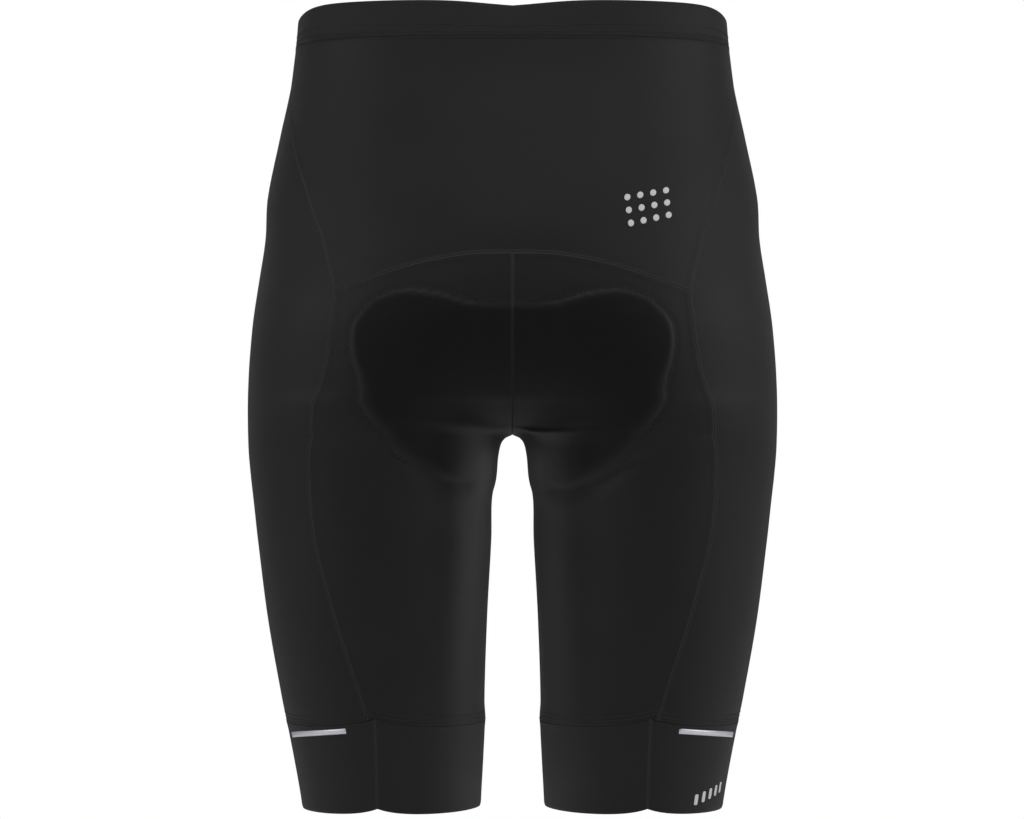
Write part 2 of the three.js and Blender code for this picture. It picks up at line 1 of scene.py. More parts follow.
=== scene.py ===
import bmesh
import bpy
import numpy as np
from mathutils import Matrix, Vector


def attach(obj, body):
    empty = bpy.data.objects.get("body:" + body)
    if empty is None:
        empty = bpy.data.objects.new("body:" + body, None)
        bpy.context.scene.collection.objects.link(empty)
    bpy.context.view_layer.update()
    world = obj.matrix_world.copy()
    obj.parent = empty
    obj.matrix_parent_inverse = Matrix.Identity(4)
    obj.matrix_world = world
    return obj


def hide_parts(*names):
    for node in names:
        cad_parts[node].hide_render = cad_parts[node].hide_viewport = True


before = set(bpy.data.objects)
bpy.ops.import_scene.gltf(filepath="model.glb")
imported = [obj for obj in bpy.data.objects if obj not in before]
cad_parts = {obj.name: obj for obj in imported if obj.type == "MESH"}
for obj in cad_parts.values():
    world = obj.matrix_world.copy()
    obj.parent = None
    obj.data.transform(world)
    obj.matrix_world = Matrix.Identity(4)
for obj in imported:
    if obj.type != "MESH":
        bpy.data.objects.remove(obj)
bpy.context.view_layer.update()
print("frame loaded")

mm = 0.001
body = "root"
flipX = np.array([-1, 1, 1])


# Tables with named columns, read as smooth curves

def table(columns, rows):
    return dict(zip(columns.split(), np.array(rows, float).T))


def readTable(rows, key, place, column):
    keys, values = rows[key], rows[column]
    last = len(keys) - 1
    order = np.arange(last + 1)
    before, after = np.maximum(order - 1, 0), np.minimum(order + 1, last)
    slopes = (values[after] - values[before]) / (keys[after] - keys[before])
    i = np.clip(np.searchsorted(keys[1:], place), 0, last - 1)
    step = keys[i + 1] - keys[i]
    t = np.clip((place - keys[i]) / step, 0, 1)
    t2, t3 = t * t, t * t * t
    start = values[i] * (2 * t3 - 3 * t2 + 1) + step * slopes[i] * (t3 - 2 * t2 + t)
    return start + values[i + 1] * (3 * t2 - 2 * t3) + step * slopes[i + 1] * (t3 - t2)


# The garment's form: level sections, seam lines and the pad's outline, as the model has them
form = {
    "rimBackDown": -4, "rimSideDown": 0, "rimFrontDown": 22, "hemDown": 534, "hemOuterDrop": 1,
    "foldDown": 150, "foldY": 3.75, "far": 260, "halvings": 40, "blendShare": 1.2,
    "bandRun": 0.06, "cuffRun": 1.77, "junctionRun": 0.591,
    "cuffPeak": 0.028, "cuffPeakWidth": 0.042, "hemPeak": 0.018, "hemPeakWidth": 0.028,
    "cuffSeamShare": 0.97, "cuffSeamLean": 0.017, "straightSteps": 61, "foldSteps": 200,
}
sections = table("down side fork back front square blend", [
    (-12, 146.0, -146, 90, 98, 2.25, 0),
    (0, 146.5, -147, 92, 100, 2.25, 0),
    (38, 150.3, -151, 99, 108, 2.25, 0),
    (79, 158.8, -156, 110, 114, 2.2, 0),
    (120, 166.7, -149, 121, 116, 2.2, 3),
    (148, 168.0, -126, 127, 115, 2.15, 11),
    (175, 171.8, -100, 131, 113, 2.15, 18),
    (200, 175.5, -78, 132, 110, 2.15, 25),
    (216, 177.2, -64, 130, 108, 2.15, 29),
    (235, 178.8, -46, 126, 106, 2.1, 37),
    (250, 179.6, -26, 121, 105, 2.1, 47),
    (260, 179.9, -6, 117.7, 104.3, 2.1, 52),
    (274, 180.0, 9, 112.4, 103.3, 2.1, 48),
    (283, 179.9, 13.2, 109, 102.8, 2.1, 50),
    (293, 179.6, 15.5, 105.5, 102.2, 2.1, 55),
    (310, 178.2, 17.2, 101.1, 101.5, 2.1, 60),
    (325, 176.6, 18.4, 98, 101, 2.1, 60),
    (352, 173.8, 18.6, 93, 100, 2.1, 60),
    (407, 167.0, 20.2, 83, 95, 2.1, 60),
    (462, 157.4, 21.3, 71, 86, 2.1, 60),
    (475, 154.7, 20.9, 68, 84, 2.1, 60),
    (503, 149.2, 21.7, 63, 78, 2.1, 60),
    (530, 144.5, 22.7, 59, 74, 2.1, 60),
    (545, 143.0, 23, 57, 72, 2.1, 60),
])
backSideSeam = table("run turn", [
    (0.06, 0.5), (0.17, 0.455), (0.301, 0.3865), (0.389, 0.342), (0.451, 0.32), (0.521, 0.289),
    (0.591, 0.26), (0.645, 0.2582), (0.7, 0.2615), (0.761, 0.2725), (0.828, 0.284), (0.87, 0.2882),
    (0.914, 0.292), (0.968, 0.2993), (1.0, 0.3045), (1.043, 0.3078), (1.1, 0.3093), (1.18, 0.31),
    (1.286, 0.3082), (1.405, 0.2985), (1.53, 0.287), (1.654, 0.2745), (1.8, 0.262),
])
frontSideSeam = table("run turn", [
    (0.06, 0.66), (0.4, 0.678), (0.6, 0.7025), (0.7, 0.7065), (0.75, 0.703), (0.8, 0.7), (0.85, 0.7005),
    (0.9, 0.7055), (0.95, 0.7035), (1.0, 0.6975), (1.05, 0.699), (1.2, 0.7007), (1.3, 0.703), (1.5, 0.715),
    (1.8, 0.735),
])
archSeam = table("across down", [
    (0, 161.6), (26, 162.2), (44, 164.7), (61, 168.2), (78, 173), (96, 179.2), (115.5, 186.2),
])
padBack = {
    "centreTurn": 0,
    "top": [(0, 0.544), (0.053, 0.545), (0.104, 0.537), (0.157, 0.545), (0.198, 0.578)],
    "outer": [(0.198, 0.578), (0.226, 0.64), (0.231, 0.73), (0.2325, 0.832), (0.231, 0.92), (0.2335, 1),
              (0.2145, 1.056), (0.19, 1.102)],
    "foot": [(0, 1.153), (0.09, 1.153), (0.145, 1.14), (0.19, 1.102)],
}
padFront = {
    "centreTurn": 1,
    "top": [(1, 0.6), (0.965, 0.605), (0.93, 0.64)],
    "outer": [(0.93, 0.64), (0.91, 0.74), (0.89, 0.87), (0.87, 1), (0.885, 1.09)],
    "foot": [(1, 1.153), (0.93, 1.14), (0.885, 1.09)],
}


def sectionAt(down):
    columns = "side", "fork", "back", "front", "square", "blend"
    side, fork, back, front, square, blend = (readTable(sections, "down", down, name) for name in columns)
    centre = np.maximum((fork + side) / 2, 0)
    return {
        "centre": centre, "half": side - centre, "depth": (back + front) / 2, "middle": (back - front) / 2,
        "square": square, "blend": np.maximum(np.minimum(blend, form["blendShare"] * centre), 0),
    }


def outsideOval(section, x, y):
    reach, power = np.hypot(x, y), section["square"]
    share = np.abs(x / section["half"]) ** power + np.abs(y / section["depth"]) ** power
    distance = reach * (1 - np.maximum(share, 1e-12) ** (-1 / power))
    return np.where(reach < 1e-9, -section["depth"], distance)


def outsideSection(section, x, y):
    dy = y - section["middle"]
    left = outsideOval(section, x - section["centre"], dy)
    right = outsideOval(section, x + section["centre"], dy)
    overlap = np.maximum(section["blend"] - np.abs(left - right), 0)
    return np.minimum(left, right) - overlap ** 2 / (4 * np.maximum(section["blend"], 1e-6))


def halve(isInside, far):
    low, high = np.zeros_like(far), far.copy()
    for _ in range(form["halvings"]):
        middle = (low + high) / 2
        inside = isInside(middle)
        low, high = np.where(inside, middle, low), np.where(inside, high, middle)
    return low


# The garment's line on its centre plane, from the rim down to the crotch
def midline(rimDown, side):
    straight = np.linspace(rimDown, form["foldDown"], form["straightSteps"])
    angles = np.pi / 2 * np.arange(1, form["foldSteps"] + 1) / form["foldSteps"]
    section = sectionAt(straight)
    reach = halve(lambda r: outsideSection(section, 0 * r, section["middle"] + side * r) < 0,
                  np.full(len(straight), float(form["far"])))
    y = section["middle"] + side * reach
    dy, dd = side * np.cos(angles), np.sin(angles)

    def isInside(reach):
        section = sectionAt(form["foldDown"] + dd * reach)
        return outsideSection(section, 0 * reach, form["foldY"] + dy * reach) < 0

    reach = halve(isInside, np.full(len(angles), float(form["far"])))
    down = np.concatenate([straight, form["foldDown"] + dd * reach])
    y = np.concatenate([y, form["foldY"] + dy * reach])
    length = np.concatenate([[0], np.cumsum(np.hypot(np.diff(down), np.diff(y)))])
    return {"down": down, "y": y, "share": length / length[-1]}


backLine = midline(form["rimBackDown"], 1)
frontLine = midline(form["rimFrontDown"], -1)
crotchDown = backLine["down"][-1]


def surfacePoint(turn, run):
    turn, run = (np.array(a, float) for a in np.broadcast_arrays(turn, run))
    above = run < 1
    ends = []
    for line, way in ((backLine, 1), (frontLine, -1)):
        down, y = (np.interp(run, line["share"], line[name]) for name in ("down", "y"))
        section = sectionAt(down)
        angle = way * np.arctan2(np.maximum(way * (y - section["middle"]), 0), -section["centre"])
        ends.append((down, np.where(above, angle, way * np.pi)))
    (backDown, first), (frontDown, last) = ends
    side = form["rimSideDown"] + (crotchDown - form["rimSideDown"]) * run
    fold = np.where(turn < 0.5, backDown, frontDown)
    down = np.where(above, side + (fold - side) * np.cos(np.pi * turn) ** 2,
                    crotchDown + (run - 1) * (form["hemDown"] - crotchDown))
    section = sectionAt(down)
    angle = first + (last - first) * turn
    dx, dy = np.cos(angle), np.sin(angle)
    far = np.where(dx < 0, np.minimum(form["far"], section["centre"] / np.maximum(-dx, 1e-9)), form["far"])
    reach = halve(
        lambda r: outsideSection(section, section["centre"] + dx * r, section["middle"] + dy * r) < 0, far)
    onCentre = (run <= 1) & ((turn == 0) | (turn == 1))
    x = np.where(onCentre, 0, np.maximum(section["centre"] + dx * reach, 0))
    return np.stack([x, section["middle"] + dy * reach, -down], -1)


def unit(vectors):
    return vectors / np.linalg.norm(vectors, axis=-1, keepdims=True)


def surfaceNormal(points, step=0.4):
    x, y, z = np.moveaxis(points, -1, 0)
    value = lambda atX, atY, atZ: outsideSection(sectionAt(-atZ), atX, atY)
    return unit(np.stack([
        np.where(x == 0, 0, value(x + step, y, z) - value(x - step, y, z)),
        value(x, y + step, z) - value(x, y - step, z),
        value(x, y, z + step) - value(x, y, z - step),
    ], -1))


backSeamTurn = lambda run: readTable(backSideSeam, "run", run, "turn")
frontSeamTurn = lambda run: readTable(frontSideSeam, "run", run, "turn")
cuffSeamTurn = form["cuffSeamShare"] * backSeamTurn(form["cuffRun"])


def archRun(turn):
    def above(run):
        point = surfacePoint(turn, run)
        return -point[..., 2] < readTable(archSeam, "across", point[..., 0], "down")
    return halve(above, np.ones_like(turn))


def peak(turn, height, width):
    return height * np.exp(-np.abs(turn - cuffSeamTurn) / width)


def cuffRun(turn):
    return form["cuffRun"] - peak(turn, form["cuffPeak"], form["cuffPeakWidth"])


def hemRun(turn):
    drop = form["hemOuterDrop"] / (form["hemDown"] - crotchDown) * np.sin(np.pi * turn) ** 4
    return 2 + drop - peak(turn, form["hemPeak"], form["hemPeakWidth"])


# Shares along a stretch of cloth: even cells, with fine ones beside the seams at its ends
seamSteps = np.array([0.0, 0.3, 0.65, 1.05, 1.5, 2.1, 2.9, 3.9, 5.2, 6.8])


def steps(length, cell, start=True, end=True):
    first = seamSteps if start else np.array([0.0])
    last = length - seamSteps[::-1] if end else np.array([length])
    count = max(int(round((last[0] - first[-1]) / cell)), 2)
    return np.concatenate([first, np.linspace(first[-1], last[0], count + 1)[1:-1], last]) / length


cells = {"back": 2.2, "side": 3.2, "front": 2.8, "band": 1.6, "cuff": 2.6}
lengths = {"yoke": 150, "seat": 165, "leg": 196, "back": 128, "side": 165, "front": 105, "band": 19.5,
           "cuff": 58, "cuffRound": 330}
yokeRows = steps(lengths["yoke"], cells["back"])
seatRows = steps(lengths["seat"], cells["back"], end=False)
legRows = steps(lengths["leg"], cells["back"], start=False)
backShares, sideShares, frontShares = (steps(lengths[key], cells[key]) for key in ("back", "side", "front"))


# A grid of places on the outer face, rows down and columns round, with its points, normals and the
# distances in millimetres from its four edges
class Patch:
    def __init__(self, turn, run, side=1, points=None, normals=None):
        self.turn, self.run, self.side = turn, run, side
        self.points = surfacePoint(turn, run) if points is None else points
        self.normals = surfaceNormal(self.points) if normals is None else normals
        across = np.linalg.norm(np.diff(self.points, axis=1), axis=-1)
        down = np.linalg.norm(np.diff(self.points, axis=0), axis=-1)
        self.fromFirst = np.pad(np.cumsum(across, axis=1), ((0, 0), (1, 0)))
        self.fromTop = np.pad(np.cumsum(down, axis=0), ((1, 0), (0, 0)))
        self.fromLast = self.fromFirst[:, -1:] - self.fromFirst
        self.fromBottom = self.fromTop[-1:] - self.fromTop
        self.relief = np.zeros(self.points.shape[:2])
        self.paint = {}

    def mirrored(self):
        copy = Patch(self.turn, self.run, -self.side, self.points * flipX, self.normals * flipX)
        copy.relief, copy.paint = self.relief.copy(), self.paint
        return copy

    def outer(self, lift=0.0):
        return self.points + self.normals * (self.relief + lift)[..., None]


def bothSides(patch):
    return ("Left", patch), ("Right", patch.mirrored())


def rowsDown(top, crotch, bottom):
    return np.concatenate([top + (crotch - top) * seatRows, crotch + (bottom - crotch) * legRows[1:]])


def yokePatch():
    seam = backSeamTurn(form["junctionRun"])
    bottom = archRun(backShares * seam)
    bottom[-1] = form["junctionRun"]
    edge = form["bandRun"] + (form["junctionRun"] - form["bandRun"]) * yokeRows
    turn = backShares[None] * backSeamTurn(edge)[:, None]
    run = form["bandRun"] + (bottom[None] - form["bandRun"]) * yokeRows[:, None]
    half = Patch(turn, run)
    join = lambda grid, way=1: np.concatenate([(grid * way)[:, :0:-1], grid], axis=1)
    return Patch(join(turn), join(run), 1, join(half.points, flipX), join(half.normals, flipX))


def backLegPatch():
    seam = backSeamTurn(form["junctionRun"])
    top = archRun(backShares * seam)
    top[-1] = form["junctionRun"]
    cuffTurn = backSeamTurn(form["cuffRun"])
    edge = rowsDown(form["junctionRun"], 1, cuffRun(cuffTurn))
    columns = [rowsDown(t, 1, b) for t, b in zip(top, cuffRun(backShares * cuffTurn))]
    return Patch(backShares[None] * backSeamTurn(edge)[:, None], np.stack(columns, 1))


def longRows(turn):
    yoke = form["bandRun"] + (form["junctionRun"] - form["bandRun"]) * yokeRows[:-1]
    return np.concatenate([yoke, rowsDown(form["junctionRun"], 1, cuffRun(turn))])


def longPatch(shares, firstTurn, lastTurn):
    edge = longRows(backSeamTurn(form["cuffRun"]))
    first, last = firstTurn(edge)[:, None], lastTurn(edge)[:, None]
    foot = firstTurn(form["cuffRun"]) + (lastTurn(form["cuffRun"]) - firstTurn(form["cuffRun"])) * shares
    return Patch(first + (last - first) * shares[None], np.stack([longRows(turn) for turn in foot], 1))


def allTurns(run):
    back, front = backSeamTurn(run), frontSeamTurn(run)
    return np.concatenate([backShares * back, back + (front - back) * sideShares[1:],
                           front + (1 - front) * frontShares[1:]])


print("form ready")


# Meshes from grids of points

def makeObject(name, vertices, faces, material, uv=None):
    mesh = bpy.data.meshes.new(name)
    mesh.from_pydata((np.asarray(vertices) * mm).tolist(), [], [list(map(int, face)) for face in faces])
    if uv is not None:
        layer = mesh.uv_layers.new(name="knit")
        loops = np.zeros(len(mesh.loops), dtype=np.int32)
        mesh.loops.foreach_get("vertex_index", loops)
        layer.data.foreach_set("uv", (np.asarray(uv)[loops] * mm).ravel().astype(np.float32))
    mesh.update()
    mesh.shade_smooth()
    mesh.materials.append(material)
    piece = bpy.data.objects.new(name, mesh)
    bpy.context.scene.collection.objects.link(piece)
    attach(piece, body)
    return piece


# The four-sided faces of a grid of points, which may close round on itself
def gridFaces(rows, columns, start=0, flip=False, closed=False):
    i, j = np.meshgrid(np.arange(rows - 1), np.arange(columns if closed else columns - 1), indexing="ij")
    row, j = i.ravel() * columns + start, j.ravel()
    k = (j + 1) % columns
    quads = np.stack([row + j, row + k, row + columns + k, row + columns + j], 1)
    return quads[:, ::-1] if flip else quads


# A closed shell between an outer grid and an inner one
def shellFaces(rows, columns, flip=False):
    size = rows * columns
    faces = [gridFaces(rows, columns, 0, flip), gridFaces(rows, columns, size, not flip)]
    along, down = np.arange(columns - 1), np.arange(rows - 1) * columns
    for edge, step, order in (
            (along, 1, [0, 1, 2, 3]), (along + size - columns, 1, [0, 3, 2, 1]),
            (down, columns, [0, 3, 2, 1]), (down + columns - 1, columns, [0, 1, 2, 3])):
        rim = np.stack([edge, edge + size, edge + step + size, edge + step], 1)[:, order]
        faces.append(rim[:, ::-1] if flip else rim)
    return np.concatenate(faces)


# How far the inner face of a wall follows the hollows and the swellings of its outer face
follow = {"hollow": 1.0, "swelling": 0.6}


def shellPiece(name, patch, thickness, material, node, flat):
    rows, columns = patch.points.shape[:2]
    outer = patch.outer()
    moved = np.where(patch.relief < 0, follow["hollow"], follow["swelling"]) * patch.relief
    inner = patch.points - patch.normals * (thickness - moved)[..., None]
    uv = np.stack([patch.fromFirst - patch.fromFirst.mean(), patch.fromTop], -1).reshape(-1, 2)
    vertices = np.concatenate([outer.reshape(-1, 3), inner.reshape(-1, 3)])
    piece = makeObject(name, vertices, shellFaces(rows, columns, patch.side < 0), material,
                       np.concatenate([uv, uv]))
    for key, share in patch.paint.items():
        layer = piece.data.attributes.new(key, "FLOAT", "POINT")
        layer.data.foreach_set("value", np.tile(share.ravel(), 2).astype(np.float32))
    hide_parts(node)
    if flat:
        declareSheet(patch, flat)
    return piece


# The cut of a stretched piece: its own breadth and length, eased back by how far the cloth is stretched
stretch = {"across": 1.12, "along": 1.03}


def declareSheet(patch, name):
    breadth = patch.fromFirst[:, -1].max() * mm / stretch["across"]
    length = patch.fromTop[-1].max() * mm / stretch["along"]
    across = np.diff(patch.points[:-1], axis=1)
    down = np.diff(patch.points[:, :-1], axis=0)
    area = np.linalg.norm(np.cross(across, down), axis=-1).sum() * mm * mm
    area /= stretch["across"] * stretch["along"]
    area = min(area, breadth * length)
    print(f"cut of {name}: {breadth * 1000:.0f} x {length * 1000:.0f} mm, {area * 1e4:.0f} cm2")


# Shader nodes: a wrapped socket whose operators add Math nodes, and one method for every other node

class Signal:
    def __init__(self, maker, socket):
        self.maker, self.socket = maker, socket

    def combine(self, operation, other, reflected=False):
        first, second = (other, self) if reflected else (self, other)
        return self.maker.node("ShaderNodeMath", {"operation": operation}, {0: first, 1: second})

    def __add__(self, other):
        return self.combine("ADD", other)

    def __sub__(self, other):
        return self.combine("SUBTRACT", other)

    def __mul__(self, other):
        return self.combine("MULTIPLY", other)

    def __rsub__(self, other):
        return self.combine("SUBTRACT", other, True)

    __radd__ = __add__
    __rmul__ = __mul__


class Finish:
    def __init__(self, name, store=bpy.data.materials, shader="Principled BSDF"):
        self.material = store.new(name)
        self.material.use_nodes = True
        self.tree = self.material.node_tree
        self.shader = self.tree.nodes[shader]

    def node(self, kind, settings=None, inputs=None, output=0):
        node = self.tree.nodes.new(kind)
        for key, value in (settings or {}).items():
            setattr(node, key, value)
        for key, value in (inputs or {}).items():
            self.plug(node.inputs[key], value)
        return Signal(self, node.outputs[output])

    def plug(self, socket, value):
        if isinstance(value, Signal):
            self.tree.links.new(value.socket, socket)
        else:
            socket.default_value = value

    def set(self, values):
        for name, value in values.items():
            self.plug(self.shader.inputs[name], value)

    # a second shader, shown where the factor is 1
    def second(self, factor, values):
        first = Signal(self, self.shader.outputs[0])
        second = self.node("ShaderNodeBsdfPrincipled", {}, values)
        blend = self.node("ShaderNodeMixShader", {}, {0: factor, 1: first, 2: second})
        self.plug(self.tree.nodes["Material Output"].inputs["Surface"], blend)

    def noise(self, place, scale, detail=2.0):
        return self.node("ShaderNodeTexNoise", {}, {"Vector": place, "Scale": scale, "Detail": detail})

    def wave(self, along, pitch):
        return self.node("ShaderNodeMath", {"operation": "SINE"}, {0: along * (2 * np.pi / pitch)})

    def mix(self, factor, first, second):
        colours = [value if isinstance(value, Signal) else (*value, 1) for value in (first, second)]
        return self.node("ShaderNodeMix", {"data_type": "RGBA"},
                         {"Factor": factor, 6: colours[0], 7: colours[1]}, 2)

    def painted(self, name):
        return self.node("ShaderNodeAttribute", {"attribute_name": name}, {}, "Fac")

    def bump(self, height, distance):
        return self.node("ShaderNodeBump", {}, {"Height": height, "Distance": distance, "Strength": 1.0})


# the seam edge colour is lighter than the cloth: partly seam thread, partly a painted highlight on the raised
# seam ridge
lycraUser = {
    "dark": (0.0105, 0.0105, 0.0111), "light": (0.014, 0.014, 0.0148), "seamEdgeHighlight": (0.026, 0.026, 0.027),
    "roughness": 0.5, "uneven": 0.12, "sheen": 0.1, "sheenRoughness": 0.4, "specular": 0.1,
    "walePitch": 0.0005, "coursePitch": 0.00042, "courseWave": 0.00006, "knitDepth": 0.00003,
    "cloudScale": 26, "fibreScale": 1400, "cloudTone": 0.7, "waleHeight": 0.5, "courseHeight": 0.35,
    "fibreHeight": 0.6, "overPadShade": None,
}


# Warp knit: narrow upright wales crossed by finer courses, with a soft cloudiness in tone. Over the pad it is
# stretched flat on foam and a little duller; there its colour is also painted darker, as painted shade under
# the seat.
def knitFinish(name, user):
    finish = Finish(name)
    place = finish.node("ShaderNodeUVMap", {"uv_map": "knit"})
    spot = finish.node("ShaderNodeTexCoord", {}, {}, "Object")
    across, down = (finish.node("ShaderNodeSeparateXYZ", {}, {0: place}, axis) for axis in "XY")
    wales = finish.wave(across, user["walePitch"])
    courses = finish.wave(down + wales * user["courseWave"], user["coursePitch"])
    cloud = finish.noise(spot, user["cloudScale"], 3)
    fibre = finish.noise(spot, user["fibreScale"])
    tone = cloud * user["cloudTone"] + fibre * (1 - user["cloudTone"])
    knit = wales * user["waleHeight"] + courses * user["courseHeight"] + fibre * user["fibreHeight"]
    edge = finish.painted("seamEdgeHighlight")
    colour = finish.mix(edge, finish.mix(tone, user["dark"], user["light"]), user["seamEdgeHighlight"])
    values = {"Base Color": colour, "Roughness": user["roughness"] + (cloud - 0.5) * user["uneven"],
              "Normal": finish.bump(knit, user["knitDepth"]), "Specular IOR Level": user["specular"],
              "Sheen Weight": user["sheen"], "Sheen Roughness": user["sheenRoughness"]}
    finish.set(values)
    dullShaded = user["overPadShade"]
    if dullShaded:
        colour = finish.mix(edge, finish.mix(tone, dullShaded["dark"], dullShaded["light"]), dullShaded["seamEdgeHighlight"])
        finish.second(finish.painted("overPadShade"), {
            **values, "Base Color": colour, "Specular IOR Level": dullShaded["specular"],
            "Sheen Weight": dullShaded["sheen"]})
    return finish.material


# Any finish of one colour, with a fine grain in its tone, roughness and surface
def plainFinish(name, colour, roughness, grain=900, depth=0.00004, specular=0.4, spread=0.25, metallic=0.0,
                uneven=0.1):
    finish = Finish(name)
    grains = finish.noise(finish.node("ShaderNodeTexCoord", {}, {}, "Object"), grain)
    dark, light = (tuple(part * level for part in colour) for level in (1 - spread, 1 + spread))
    finish.set({"Base Color": finish.mix(grains, dark, light), "Metallic": metallic,
                "Roughness": roughness + (grains - 0.5) * uneven, "Normal": finish.bump(grains, depth),
                "Specular IOR Level": specular})
    return finish.material


lycra = knitFinish("lycraCloth", lycraUser)
# the leg panels' cloth is painted darker over the pad and on the flanks below it: painted shade under the
# seat, on cloth that is also duller there
legLycra = knitFinish("lycraLegCloth", {**lycraUser, "overPadShade": {
    "dark": (0.0075, 0.0075, 0.008), "light": (0.0098, 0.0098, 0.0103), "sheen": 0.02, "specular": 0.05,
    "seamEdgeHighlight": (0.021, 0.021, 0.022)}})
bandCloth = knitFinish("bandCloth", {**lycraUser, "walePitch": 0.0007, "knitDepth": 0.00005})
gripperCloth = knitFinish("gripperKnit", {
    **lycraUser, "dark": (0.012, 0.012, 0.0127), "light": (0.015, 0.015, 0.0158), "roughness": 0.55,
    "walePitch": 0.0009, "coursePitch": 0.0007, "knitDepth": 0.00007,
})
threadFinish = plainFinish("blackThread", (0.019, 0.019, 0.02), 0.5, specular=0.15)
padCloth = plainFinish("padMicrofibre", (0.03, 0.03, 0.034), 0.9, grain=600, depth=0.00012, specular=0.2)
tapeFinish = plainFinish("silverTape", (0.55, 0.55, 0.6), 0.38, grain=2500, depth=0.00002, spread=0.06,
                         metallic=0.35)
printFinish = plainFinish("palePrint", (0.5, 0.5, 0.5), 0.5, grain=1200, depth=0.00002, spread=0.05)
print("finishes ready")


# Seams: a narrow valley between two panels, with a soft bead along it where the edges are sewn together
# flat, and one side standing on the folded allowance
seamUser = {"dip": 0.2, "dipWidth": 0.35, "bead": 0.3, "beadMiddle": 0.6, "beadWidth": 0.6, "welt": 0.26,
            "weltMiddle": 2.2, "weltWidth": 1.7, "weltClear": 0.6, "edge": 0.75,
            "inseamShare": 0.55, "inseamRamp": 60, "inseamBare": 2}


def seam(distance, welt=0.0):
    dip = -seamUser["dip"] * np.exp(-(distance / seamUser["dipWidth"]) ** 2)
    bead = seamUser["bead"] * np.exp(-((distance - seamUser["beadMiddle"]) / seamUser["beadWidth"]) ** 2)
    rise = welt * np.exp(-((distance - seamUser["weltMiddle"]) / seamUser["weltWidth"]) ** 2)
    return dip + bead + rise * (1 - np.exp(-(distance / seamUser["weltClear"]) ** 2))


# The sewn edges are painted a little lighter than the cloth: partly lighter seam thread, partly a painted
# highlight where the raised seam edge catches the light
def paintEdgeHighlights(patch, distances):
    patch.paint["seamEdgeHighlight"] = np.exp(-(np.minimum.reduce(distances) / seamUser["edge"]) ** 2)


# Smooth line through places on the cloth, as (turn, run) pairs
def smoothLine(places, count):
    places = np.array(places, float)
    t = np.linspace(0, len(places) - 1, count)
    i = np.clip(t.astype(int), 0, len(places) - 2)
    w = (t - i)[:, None]
    at = lambda k: places[np.clip(k, 0, len(places) - 1)]
    p0, p1, p2, p3 = at(i - 1), at(i), at(i + 1), at(i + 2)
    v0, v1 = (p2 - p0) / 2, (p3 - p1) / 2
    return (2 * p1 - 2 * p2 + v0 + v1) * w ** 3 + (3 * p2 - 3 * p1 - 2 * v0 - v1) * w ** 2 + v0 * w + p1


# Shortest distance from each point to a line of points, and the share of the way along it
def distanceTo(points, line):
    flat = points.reshape(-1, 3)
    best = np.full(len(flat), 1e9)
    where = np.zeros(len(flat))
    for k in range(len(line) - 1):
        a, b = line[k], line[k + 1]
        ab = b - a
        t = np.clip(((flat - a) @ ab) / max(ab @ ab, 1e-9), 0, 1)
        gap = np.linalg.norm(flat - (a + t[:, None] * ab), axis=1)
        closer = gap < best
        best = np.where(closer, gap, best)
        where = np.where(closer, (k + t) / (len(line) - 1), where)
    return best.reshape(points.shape[:2]), where.reshape(points.shape[:2])


def smoothStep(value, start, end):
    t = np.clip((value - start) / (end - start), 0, 1)
    return t * t * (3 - 2 * t)


def insideOutline(turn, run, outline):
    inside = np.zeros(turn.shape, bool)
    for (x0, y0), (x1, y1) in zip(outline, np.roll(outline, -1, axis=0)):
        crosses = (y0 > run) != (y1 > run)
        reach = (x1 - x0) * (run - y0) / (y1 - y0 if y1 != y0 else 1e-9) + x0
        inside ^= crosses & (turn < reach)
    return inside


# The pad shows through the seat as a low plateau inside a stitched groove; the cloth over it gets painted
# shade
padShow = {"height": 1.7, "ramp": 4.5, "groove": 0.45, "grooveWidth": 1.7, "padShadeStart": 1.2, "padShadeRamp": 2.6,
           "padShadeWiden": 8.0, "widen": (0.62, 0.84), "fade": (0.9, 0.985), "footShare": 0.15,
           "flank": (0.125, 0.175), "flankShare": 0.95, "points": {"top": 60, "outer": 90, "foot": 60}}


def padOutline(pad):
    top, outer, foot = (smoothLine(pad[key], count) for key, count in padShow["points"].items())
    return np.concatenate([top, outer[1:], foot[-2::-1]])


def addPadRelief(patch, pad):
    outline = padOutline(pad)
    line = surfacePoint(outline[:, 0], outline[:, 1])
    distance, _ = distanceTo(patch.points, line)
    closed = np.concatenate([outline, [[pad["centreTurn"], outline[k, 1]] for k in (-1, 0)]])
    inside = insideOutline(patch.turn, patch.run, closed)
    signed = np.where(inside, distance, -distance)
    # the duller cloth over the pad, painted darker as shade under the seat, has a crisp edge at the top, a
    # softer one lower down, and fades out before the crotch except on the flanks, where it stays as painted
    # shadow below the pad
    widen, fade = (smoothStep(patch.run, *padShow[key]) for key in ("widen", "fade"))
    flank = smoothStep(np.abs(patch.turn - pad["centreTurn"]), *padShow["flank"])
    ramp = padShow["padShadeRamp"] + padShow["padShadeWiden"] * widen
    patch.paint["overPadShade"] = smoothStep(signed, padShow["padShadeStart"], padShow["padShadeStart"] + ramp) * (
        1 - fade * (1 - padShow["flankShare"] * flank))
    share = 1 - (1 - padShow["footShare"]) * fade
    patch.relief += padShow["height"] * share * smoothStep(signed, 0, padShow["ramp"])
    patch.relief -= padShow["groove"] * share * np.exp(-(distance / padShow["grooveWidth"]) ** 2)


# Soft creases: ridges where height is above zero, troughs where it is below. Above its line a crease may
# be steeper than below it. Left and right differ.
creaseUser = {"points": 40, "endShare": 0.02, "endPower": 0.7}


